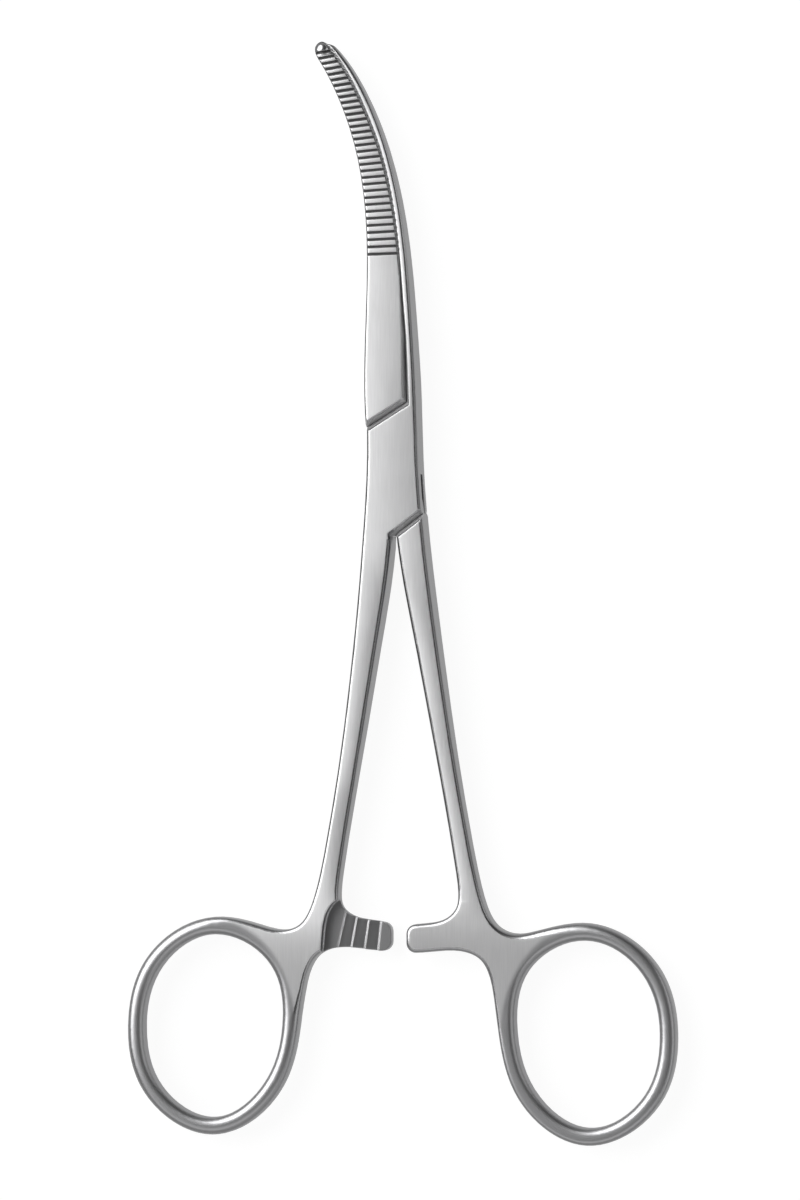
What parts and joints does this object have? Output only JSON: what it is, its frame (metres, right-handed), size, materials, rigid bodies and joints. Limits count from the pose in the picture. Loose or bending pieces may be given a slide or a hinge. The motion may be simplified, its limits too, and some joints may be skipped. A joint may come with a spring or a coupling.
{
  "type": "curved hemostat forceps",
  "caption": "Curved locking clamp forceps with finger rings, a ratchet between the shanks, a box lock, and slender jaws with cross grooves.",
  "frame": {"origin": "where the hinge axis meets the back face of the box", "axes": "+Z along the hinge axis out of the front of the box, +Y along the instrument towards the jaw tips, +X to the right seen from the front"},
  "size_m": [0.0809, 0.1599, 0.0056],
  "materials": {
    "box_arm": "satin",
    "tongue_arm": "satin",
    "pivot_pin": "satin"
  },
  "bodies": {
    "box_side": {"box_arm": "box_arm", "pivot_pin": "pivot_pin"},
    "tongue_side": {"tongue_arm": "tongue_arm"}
  },
  "joints": [
    {"name": "box_lock_hinge", "type": "hinge", "parent": "box_side", "child": "tongue_side", "pos_m": [0, 0, 0.0028], "axis": [0, 0, 1], "range_deg": [0, 40]}
  ]
}
